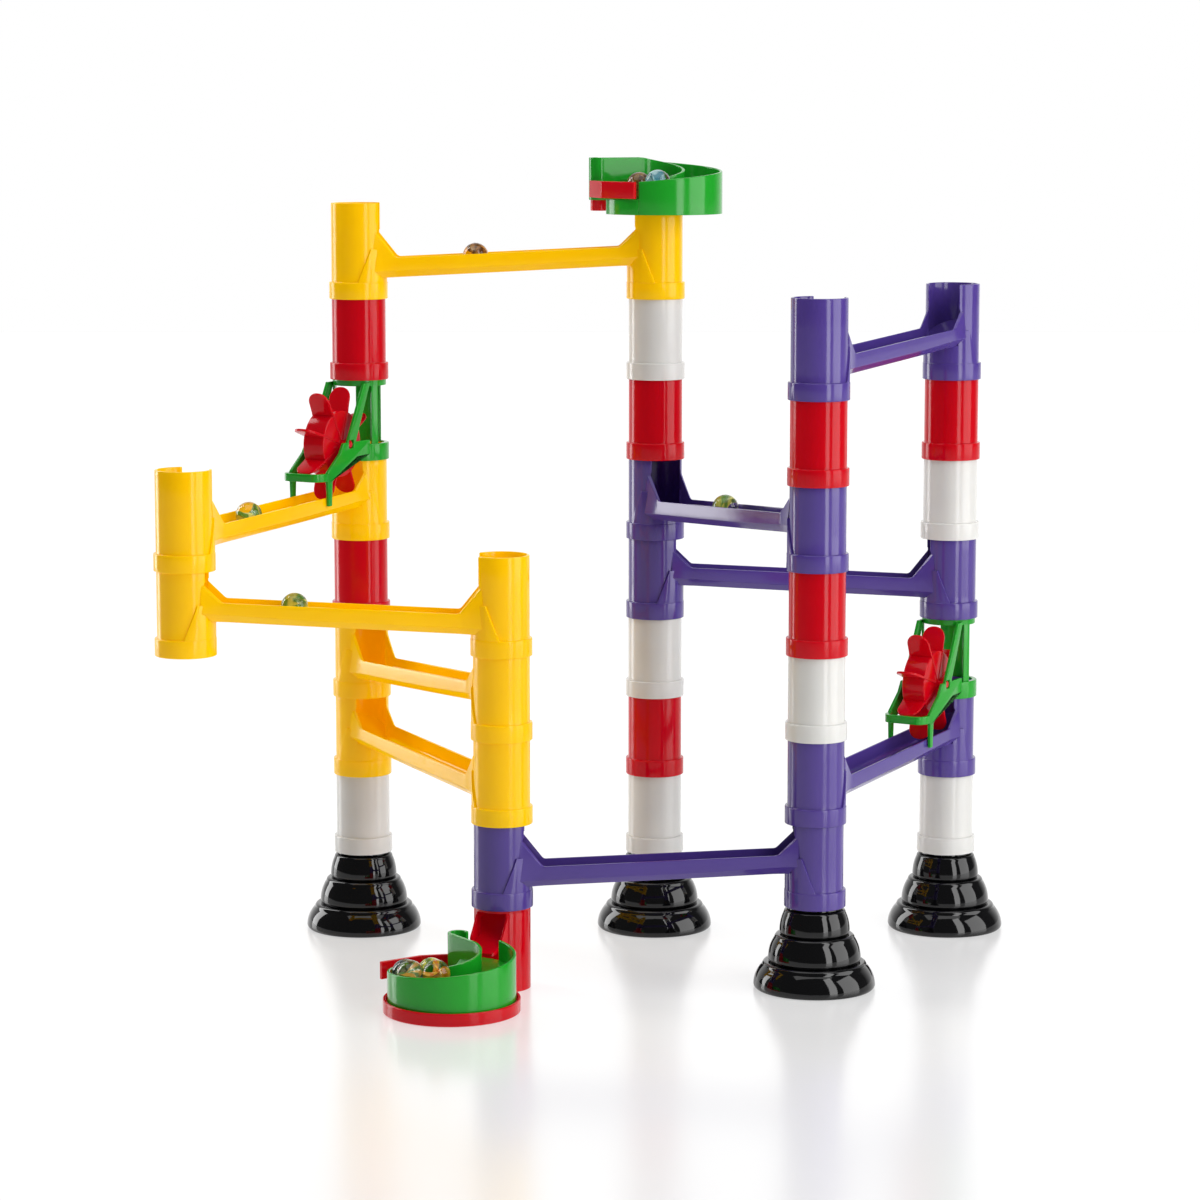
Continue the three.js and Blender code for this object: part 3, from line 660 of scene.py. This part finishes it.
def spiral_tray():
    """The ramp and the outer walls round it, the funnel into the tube below and the gate's wall and pin."""
    rim = TRAY_RADIUS - TRAY_WALL

    def ramp(angle):
        top = ramp_height(angle)
        low, inside, outside = top - TRAY_WALL, HOLE_RADIUS + 2, rim + 0.6
        return [(inside, low), (outside, low), (outside, top), (inside, top)]

    def wall(angle):
        top = OUTER_WALL_LOW + (angle - RAMP_FROM) * OUTER_WALL_RISE
        return fillet([(rim, 0), (TRAY_RADIUS, 0), (TRAY_RADIUS, top), (rim, top)], [0.3, 0.3, 0.7, 0.7])

    low_top = RAMP_LOW + 0.1
    low_wall = fillet([(rim, 0), (TRAY_RADIUS, 0), (TRAY_RADIUS, low_top), (rim, low_top)], EDGE)
    hole = (HOLE_OFFSET, 0)
    funnel = fillet([
        (HOLE_RADIUS, 7.5), (SOCKET_RADIUS, 7.5), (SOCKET_RADIUS, 0), (COLLAR_RADIUS + 0.4, 0),
        (COLLAR_RADIUS + 0.4, RAMP_LOW - 0.3), (HOLE_RADIUS, RAMP_LOW - 0.3),
    ], 0.3)
    return [
        arc_wall(ramp, GAP_FROM, ENTRY_TO, TRAY_RADIUS),
        arc_wall(wall, RAMP_FROM, RAMP_TO, TRAY_RADIUS),
        arc_wall(lambda angle: low_wall, GAP_FROM, RAMP_FROM, TRAY_RADIUS),
        turned(funnel, centre=hole),
        ribbon(inner_wall_path(), TRAY_WALL, RAMP_LOW - 1),
        disc(CURL_RADIUS + 0.6, CURL_BOTTOM, CURL_BOTTOM + TRAY_WALL, GATE_PIVOT),
        disc(GATE_PIN_RADIUS, 4, CURL_BOTTOM + 0.5, GATE_PIVOT),
    ]


def gate_lever():
    """The lever about its hub, which is at the origin in plan."""
    path = fillet([(x - GATE_PIVOT[0], y - GATE_PIVOT[1]) for x, y in GATE_PATH], 1.5, closed=False)
    bar = ribbon([(x, y, GATE_TOP) for x, y in path], GATE_THICKNESS, GATE_BOTTOM)
    bore = GATE_PIN_RADIUS + 0.3
    hub = fillet([
        (bore, GATE_HUB_BOTTOM), (GATE_HUB_RADIUS, GATE_HUB_BOTTOM),
        (GATE_HUB_RADIUS, GATE_TOP), (bore, GATE_TOP),
    ], EDGE)
    return [bar, turned(hub, 48)]


def spout_foot():
    """The tube with its mouth between two cheeks, the chute, the dish, and the bridge between the two."""
    mouth = CHEEK_HALF - 1.5
    low_wall = open_tube(0, [(MOUTH_TOP, mouth)])
    neck = fillet([
        (BORE_RADIUS, MOUTH_TOP), (TUBE_RADIUS, MOUTH_TOP),
        (TUBE_RADIUS, FOOT_TENON_TOP), (BORE_RADIUS, FOOT_TENON_TOP),
    ], [0, 0, EDGE, EDGE])
    cheek = fillet([
        (10, 0), (CHEEK_REACH, 0), (CHEEK_REACH, 33), (17, 39), (12, 48), (10, 48),
    ], [0, 0.5, 3, 3, 1, 0])
    shells = [low_wall, turned(neck), chute(), dish()]
    shells += [plate(cheek, mouth, CHEEK_HALF, 0.3), plate(cheek, -CHEEK_HALF, -mouth, 0.3)]
    bridge = [(13, -CHEEK_HALF), (30, -CHEEK_HALF), (30, CHEEK_HALF), (13, CHEEK_HALF)]
    return shells + [slab(bridge, 0, DISH_FLOOR, 0.2)]


def chute_half_width(x):
    """Half the chute's width: inside the tube, between the cheeks, and at the lip."""
    if x > CHEEK_REACH - 1:
        return LIP_HALF
    if x > 9:
        return CHEEK_HALF - 0.5
    return math.sqrt(max((BORE_RADIUS + 0.3) ** 2 - x**2, 0.3))


def chute():
    """The sloping floor from the back of the tube to a lip over the dish."""
    line = [(CHUTE_BACK, CHUTE_TOP), (LIP_REACH - 5, LIP_HEIGHT + 2.4), (LIP_REACH, LIP_HEIGHT + 1.5)]
    sections = []
    for i in range(33):
        x = CHUTE_BACK + (LIP_REACH - CHUTE_BACK) * i / 32
        half, top = chute_half_width(x), blend_path(line, x)
        low = min(top - 1.4, max(top - 2.4, LIP_HEIGHT))
        sections.append([(x, -half, low), (x, half, low), (x, half, top), (x, -half, top)])
    return loft(sections)


def dish():
    """The round dish, with a gap in its rim round the hub of the end tray's gate."""
    turn = END_TRAY_TURN - DISH_DIRECTION
    hub_angle = turn + math.degrees(math.atan2(GATE_PIVOT[1], GATE_PIVOT[0]))
    gap = math.degrees((GATE_HUB_RADIUS + 2) / DISH_RADIUS)
    rim = fillet([
        (DISH_RADIUS - TRAY_WALL, DISH_FLOOR - 0.4), (DISH_RADIUS, DISH_FLOOR - 0.4),
        (DISH_RADIUS, DISH_RIM), (DISH_RADIUS - TRAY_WALL, DISH_RIM),
    ], [0, 0, 0.6, 0.6])
    wall = arc_wall(lambda angle: rim, hub_angle + gap, hub_angle - gap + 360, DISH_RADIUS)
    floor = disc(DISH_RADIUS, 0, DISH_FLOOR, edge=0.5)
    return placed(merged([wall, floor]), at=(DISH_REACH, 0, 0))


# --- Marbles ------------------------------------------------------------------------------


def marble_ball():
    """A sphere of even rows, closed at its poles."""
    sections = []
    for i in range(MARBLE_ROWS + 1):
        turn = math.pi * i / MARBLE_ROWS
        radius, height = max(MARBLE_RADIUS * math.sin(turn), NEAR_AXIS), -MARBLE_RADIUS * math.cos(turn)
        around = [polar(radius, 360 * k / MARBLE_SEGMENTS) for k in range(MARBLE_SEGMENTS)]
        sections.append([(x, y, height) for x, y in around])
    return [loft(sections)]


def marble_vane(lobes, twist):
    """A coloured twisted vane inside a glass marble."""
    corners = lobes * 8
    sections = []
    for i in range(VANE_STEPS + 1):
        height = -VANE_HALF_LENGTH + 2 * VANE_HALF_LENGTH * i / VANE_STEPS
        reach = math.sqrt(max(VANE_RADIUS**2 - height**2, 0.2)) * 0.92
        section = []
        for k in range(corners):
            angle = 360 * k / corners
            lobe = 0.5 + 0.5 * math.cos(math.radians(angle * lobes))
            radius = VANE_CORE + (reach - VANE_CORE) * lobe**2.5
            section.append((*polar(radius, angle + twist * height), height))
        sections.append(section)
    return [placed(loft(sections), VANE_TILT, axis="X")]


# --- Materials ----------------------------------------------------------------------------


def new_material(name):
    """A material with its nodes and links."""
    material = bpy.data.materials.new(name)
    material.use_nodes = True
    return material, material.node_tree.nodes, material.node_tree.links


def noise(nodes, links, scale, detail=3.0):
    """Noise through the piece, in its own frame."""
    place = nodes.new("ShaderNodeTexCoord")
    texture = nodes.new("ShaderNodeTexNoise")
    texture.inputs["Scale"].default_value = scale
    texture.inputs["Detail"].default_value = detail
    links.new(place.outputs["Object"], texture.inputs["Vector"])
    return texture.outputs["Fac"]


def ramp(nodes, links, value, low, high, start=0.3, end=0.7):
    """A change from one colour to another as the value goes from start to end."""
    colours = nodes.new("ShaderNodeValToRGB")
    colours.color_ramp.elements[0].position = start
    colours.color_ramp.elements[1].position = end
    colours.color_ramp.elements[0].color = low
    colours.color_ramp.elements[1].color = high
    links.new(value, colours.inputs["Fac"])
    return colours.outputs["Color"]


def shade(colour, factor):
    """The colour, lighter or darker, and opaque."""
    return tuple(min(1.0, c * factor) for c in colour) + (1.0,)


def grey(tone):
    return (tone, tone, tone, 1)


def plastic(name, colour, depths, roughness=0.12, glow=0.0, ior=1.32, depth=0.0025, painted_glow=None):
    """Glossy moulded plastic with uneven colour and gloss and a faint orange peel.

    Light goes into it by depth times depths (red, green, blue). The last argument is a painted glow: a
    colour emitted evenly over the whole surface, which lightens its shaded insides in place of light coming
    through.
    """
    material, nodes, links = new_material(name)
    shader = nodes["Principled BSDF"]
    tint = ramp(nodes, links, noise(nodes, links, 24, 4), shade(colour, 0.95), shade(colour, 1.04))
    links.new(tint, shader.inputs["Base Color"])
    gloss = ramp(nodes, links, noise(nodes, links, 60, 5), grey(roughness * 0.8), grey(roughness * 1.35))
    links.new(gloss, shader.inputs["Roughness"])
    bump = nodes.new("ShaderNodeBump")
    bump.inputs["Strength"].default_value = PEEL_STRENGTH
    bump.inputs["Distance"].default_value = PEEL_DISTANCE
    links.new(noise(nodes, links, 260, 2), bump.inputs["Height"])
    links.new(bump.outputs["Normal"], shader.inputs["Normal"])
    shader.inputs["IOR"].default_value = ior
    shader.inputs["Subsurface Weight"].default_value = glow
    shader.inputs["Subsurface Radius"].default_value = depths
    shader.inputs["Subsurface Scale"].default_value = depth
    # Painted glow: an even emitted colour that lightens the plastic's shaded insides.
    if painted_glow:
        shader.inputs["Emission Color"].default_value = (*painted_glow, 1)
        shader.inputs["Emission Strength"].default_value = 1.0
    return material


def glass(name, colour):
    """Clear marble glass with a faint tint that varies a little through it."""
    material, nodes, links = new_material(name)
    shader = nodes["Principled BSDF"]
    tint = ramp(nodes, links, noise(nodes, links, 70, 2), shade(colour, 0.86), shade(colour, 1.0))
    links.new(tint, shader.inputs["Base Color"])
    shader.inputs["Roughness"].default_value = 0.02
    shader.inputs["IOR"].default_value = 1.5
    shader.inputs["Transmission Weight"].default_value = 1.0
    return material


def swirl(name, low, high, scale=90):
    """The coloured glass of a vane, streaked between two colours."""
    material, nodes, links = new_material(name)
    shader = nodes["Principled BSDF"]
    place = nodes.new("ShaderNodeTexCoord")
    wave = nodes.new("ShaderNodeTexWave")
    wave.inputs["Scale"].default_value = scale
    wave.inputs["Distortion"].default_value = 6
    wave.inputs["Detail"].default_value = 2
    links.new(place.outputs["Object"], wave.inputs["Vector"])
    colours = ramp(nodes, links, wave.outputs["Fac"], (*low, 1), (*high, 1), 0.25, 0.75)
    links.new(colours, shader.inputs["Base Color"])
    shader.inputs["Roughness"].default_value = 0.3
    # A painted glow in the vane's lighter colour, which lightens it where the glass around it shades it.
    shader.inputs["Emission Color"].default_value = (*high, 1)
    shader.inputs["Emission Strength"].default_value = SWIRL_PAINTED_GLOW
    return material


def painted_floor():
    """A white table that glows a little, so that it stays white behind the object."""
    material, nodes, links = new_material("floor_white")
    shader = nodes["Principled BSDF"]
    tone = ramp(nodes, links, noise(nodes, links, 3), grey(0.39), grey(0.41))
    links.new(tone, shader.inputs["Base Color"])
    shader.inputs["Roughness"].default_value = 0.2
    shader.inputs["IOR"].default_value = 1.8
    shader.inputs["Emission Color"].default_value = grey(1)
    shader.inputs["Emission Strength"].default_value = FLOOR_GLOW
    return material


# Yellow and red get a painted glow, an emitted colour that lightens their shaded insides and mouths.
PLASTICS = {
    "yellow": plastic(
        "yellow_plastic", (0.84, 0.51, 0.0), (1.0, 0.9, 0.02), glow=0.4, painted_glow=(0.19, 0.09, 0.0)),
    "red": plastic(
        "red_plastic", (0.52, 0.001, 0.007), (1.0, 0.1, 0.05), glow=0.35, depth=0.005,
        painted_glow=(0.06, 0.0, 0.001)),
    "purple": plastic("purple_plastic", (0.082, 0.046, 0.27), (0.3, 0.2, 1.0), glow=0.1, ior=1.5),
    "white": plastic(
        "white_plastic", (0.74, 0.73, 0.70), (1.0, 0.95, 0.85), roughness=0.16, glow=0.3, ior=1.45),
    "green": plastic("green_plastic", (0.012, 0.34, 0.02), (0.1, 1.0, 0.1), glow=0.2, ior=1.42),
    "black": plastic("black_plastic", (0.002, 0.002, 0.0025), (1.0, 1.0, 1.0), roughness=0.05, ior=1.5),
}
GLASSES = {
    "amber_glass": glass("amber_marble", (0.99, 0.86, 0.55)),
    "clear_glass": glass("clear_marble", (0.93, 0.99, 0.93)),
    "blue_glass": glass("blue_marble", (0.84, 0.97, 1.0)),
}
SWIRLS = {
    "orange": swirl("orange_swirl", (0.85, 0.22, 0.01), (0.95, 0.62, 0.05)),
    "brown": swirl("brown_swirl", (0.10, 0.03, 0.01), (0.45, 0.22, 0.05)),
    "lime": swirl("lime_swirl", (0.06, 0.30, 0.02), (0.85, 0.78, 0.12), 60),
    "teal": swirl("teal_swirl", (0.01, 0.32, 0.42), (0.70, 0.92, 0.92)),
    "smoke": swirl("smoke_swirl", (0.015, 0.03, 0.03), (0.16, 0.20, 0.16)),
    "leaf": swirl("leaf_swirl", (0.03, 0.30, 0.06), (0.85, 0.45, 0.05)),
}

# Each marble's glass, its swirl, and the vane's lobes and twist.
MARBLES = {
    "marble_track_1": ("amber_glass", "brown", 3, 9),
    "marble_track_2": ("clear_glass", "lime", 2, 14),
    "marble_track_3": ("clear_glass", "lime", 3, 12),
    "marble_track_9": ("clear_glass", "lime", 3, 16),
    "marble_start_1": ("blue_glass", "teal", 4, 10),
    "marble_start_2": ("clear_glass", "brown", 3, 12),
    "marble_end_1": ("amber_glass", "orange", 4, 6),
    "marble_end_2": ("clear_glass", "leaf", 2, 8),
    "marble_end_3": ("clear_glass", "smoke", 4, 10),
    "marble_end_4": ("clear_glass", "lime", 3, 12),
}


# --- Placing ------------------------------------------------------------------------------


def smooth(mesh):
    mesh.shade_smooth()
    mesh.set_sharp_from_angle(angle=math.radians(SHARP_ANGLE))


def mesh_from(name, shells, material=None):
    """A smooth mesh of the shells, in metres."""
    corners, faces = merged(shells)
    mesh = bpy.data.meshes.new(name)
    mesh.from_pydata([Vector(corner) * MM for corner in corners], [], faces)
    smooth(mesh)
    if material:
        mesh.materials.append(material)
    return mesh


def track_mesh():
    """A channel piece, with its two halves joined into one body with the drain slot in it."""
    work = bmesh.new()
    work.from_mesh(mesh_from("channel_body", channel_halves()))
    bmesh.ops.remove_doubles(work, verts=work.verts, dist=WELD)
    middle = [face for face in work.faces if all(abs(vert.co.y) < WELD / 10 for vert in face.verts)]
    bmesh.ops.delete(work, geom=middle, context="FACES")
    work.from_mesh(mesh_from("channel_ends", channel_ends()))
    mesh = bpy.data.meshes.new("track")
    work.to_mesh(mesh)
    work.free()
    smooth(mesh)
    return mesh


def linked(name, data):
    """A new object in the scene."""
    added = bpy.data.objects.new(name, data)
    bpy.context.scene.collection.objects.link(added)
    return added


def body_of(node):
    """The body that the node is on: one of its own name if it moves, or else the root."""
    return node if node in frame["bodies"] else "root"


def column(letter):
    """A column's place on the table, in metres."""
    if letter in "adef":
        low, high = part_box("foot_" + letter)
        return Vector(((low.x + high.x) / 2, (low.y + high.y) / 2, 0))
    turn = {"b": -60, "c": -120}[letter]
    x, y = polar(TRACK_SPAN * MM, turn)
    return column("a") + Vector((x, y, 0))


def bottom_of(node, above=0):
    """The height of the node's lowest point, or of a point that many millimetres above it."""
    return Vector((0, 0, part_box(node)[0].z + above * MM))


def add_piece(node, mesh, at, turn=0):
    """A piece that stands for the CAD node, turned in its mesh and placed at a point in metres."""
    if turn:
        mesh = mesh.copy()
        mesh.transform(Matrix.Rotation(math.radians(turn), 4, "Z"))
    piece = linked("look_" + node, mesh)
    piece.location = at
    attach(piece, body_of(node))
    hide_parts(node)


def coloured(plain, colours):
    """The same mesh once for each plastic it is moulded in."""
    meshes = {}
    for colour in colours:
        meshes[colour] = plain.copy()
        meshes[colour].name = f"{plain.name}_{colour}"
        meshes[colour].materials.append(PLASTICS[colour])
    return meshes


def add_feet_and_tubes():
    feet = coloured(mesh_from("foot", bell_foot()), ["black"])
    tubes = coloured(mesh_from("tube", straight_tube()), ["red", "white"])
    for node in frame["nodes"]:
        kind, place, *rest = node.split("_")
        if kind == "foot":
            add_piece(node, feet["black"], column(place))
        elif kind == "tube":
            add_piece(node, tubes[rest[0]], column(place[0]) + bottom_of(node), turn=90)


def add_tracks():
    meshes = coloured(track_mesh(), ["yellow", "purple"])
    for node, (start, turn) in TRACKS.items():
        colour = node.split("_")[2]
        add_piece(node, meshes[colour], column(start) + bottom_of(node), turn)


def add_wheels():
    frames = coloured(mesh_from("wheel_frame", wheel_frame()), ["green"])
    wheels = coloured(mesh_from("wheel", paddle_wheel()), ["red"])
    for name, (place, turn) in FRAMES.items():
        at = column(place) + bottom_of("wheel_frame_" + name, -LEG_BOTTOM)
        add_piece("wheel_frame_" + name, frames["green"], at, turn)
        low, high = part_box("wheel_" + name)
        add_piece("wheel_" + name, wheels["red"], (low + high) / 2, turn)


def add_trays():
    trays = coloured(mesh_from("spiral_tray", spiral_tray()), ["green"])
    gates = coloured(mesh_from("gate_lever", gate_lever()), ["red"])
    start = column("d") + bottom_of("start_tray") + Vector((START_TRAY_OFFSET * MM, 0, 0))
    x, y = polar(DISH_REACH * MM, DISH_DIRECTION)
    end = column("b") + Vector((x, y, 0)) + bottom_of("end_tray")
    for name, at, turn, gate_turn in (("start", start, 0, 0), ("end", end, END_TRAY_TURN, END_GATE_TURN)):
        add_piece(name + "_tray", trays["green"], at, turn)
        pivot = Matrix.Rotation(math.radians(turn), 3, "Z") @ Vector((*GATE_PIVOT, 0)) * MM
        add_piece(name + "_gate", gates["red"], at + pivot, turn + gate_turn)


def add_spout():
    spout = coloured(mesh_from("spout", spout_foot()), ["red"])
    add_piece("spout_foot", spout["red"], column("b"), DISH_DIRECTION)


def add_marbles():
    for i, (node, (glass_name, swirl_name, lobes, twist)) in enumerate(MARBLES.items()):
        low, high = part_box(node)
        centre = (low + high) / 2
        ball = mesh_from(node + "_ball", marble_ball(), GLASSES[glass_name])
        add_piece(node, ball, centre)
        vane_mesh = mesh_from(node + "_vane", marble_vane(lobes, twist), SWIRLS[swirl_name])
        vane = linked("vane_" + node, vane_mesh)
        vane.matrix_world = Matrix.Translation(centre) @ Matrix.Rotation(i * VANE_TURN, 4, "Z")
        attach(vane, body_of(node))


# --- Stage --------------------------------------------------------------------------------


def add_camera():
    camera = linked("camera", bpy.data.cameras.new("camera"))
    camera.location = column("d") + Vector(CAMERA_PLACE) * MM
    camera.rotation_euler = (math.radians(90 - CAMERA_PITCH), 0, 0)
    camera.data.lens = CAMERA_LENS
    camera.data.sensor_width = CAMERA_SENSOR
    camera.data.clip_end = CAMERA_CLIP_END
    bpy.context.scene.camera = camera


def add_softbox(name, azimuth, distance, size, height, power):
    """A rectangular soft light. Azimuth 0 is at the camera's side, and 90 is to its right."""
    light = bpy.data.lights.new(name, "AREA")
    light.shape = "RECTANGLE"
    light.size, light.size_y = size
    light.energy = power
    lamp = linked(name, light)
    turn = math.radians(azimuth)
    lamp.location = (distance * math.sin(turn), -distance * math.cos(turn), height)
    towards = Vector((0, 0, SOFTBOX_AIM)) - lamp.location
    lamp.rotation_euler = towards.to_track_quat("-Z", "Y").to_euler()


def add_world():
    """White where the camera sees it, brighter behind the object than in front as light."""
    world = bpy.data.worlds.new("studio")
    bpy.context.scene.world = world
    world.use_nodes = True
    nodes, links = world.node_tree.nodes, world.node_tree.links
    nodes.clear()
    place = nodes.new("ShaderNodeTexCoord")
    split = nodes.new("ShaderNodeSeparateXYZ")
    links.new(place.outputs["Generated"], split.inputs[0])
    tones = ramp(nodes, links, split.outputs["Y"], grey(WORLD_FRONT), grey(1), 0.45, 0.85)
    lit = nodes.new("ShaderNodeBackground")
    links.new(tones, lit.inputs["Color"])
    lit.inputs["Strength"].default_value = WORLD_STRENGTH
    seen = nodes.new("ShaderNodeBackground")
    seen.inputs["Color"].default_value = grey(1)
    path = nodes.new("ShaderNodeLightPath")
    mix = nodes.new("ShaderNodeMixShader")
    out = nodes.new("ShaderNodeOutputWorld")
    links.new(path.outputs["Is Camera Ray"], mix.inputs["Fac"])
    links.new(lit.outputs[0], mix.inputs[1])
    links.new(seen.outputs[0], mix.inputs[2])
    links.new(mix.outputs[0], out.inputs["Surface"])


def add_floor():
    """The table, which isn't part of the object."""
    grid = bmesh.new()
    bmesh.ops.create_grid(grid, x_segments=8, y_segments=8, size=FLOOR_HALF_SIZE)
    mesh = bpy.data.meshes.new("floor")
    grid.to_mesh(mesh)
    grid.free()
    mesh.materials.append(painted_floor())
    floor = linked("floor", mesh)
    floor.location = (0, 0, -FLOOR_DROP)


bpy.context.scene.view_settings.view_transform = "Standard"
add_camera()
add_world()
add_softbox("right_strip", 36, 1.7, (0.45, 2.4), 0.75, 15)
add_softbox("right_key", 72, 2.4, (1.6, 2.4), 0.8, 38)
add_softbox("left_softbox", -118, 1.6, (0.5, 2.4), 0.7, 20)
add_softbox("top_softbox", 0, 0.3, (2.2, 1.6), 2.0, 15)
add_floor()
add_feet_and_tubes()
add_tracks()
add_wheels()
add_trays()
add_spout()
add_marbles()
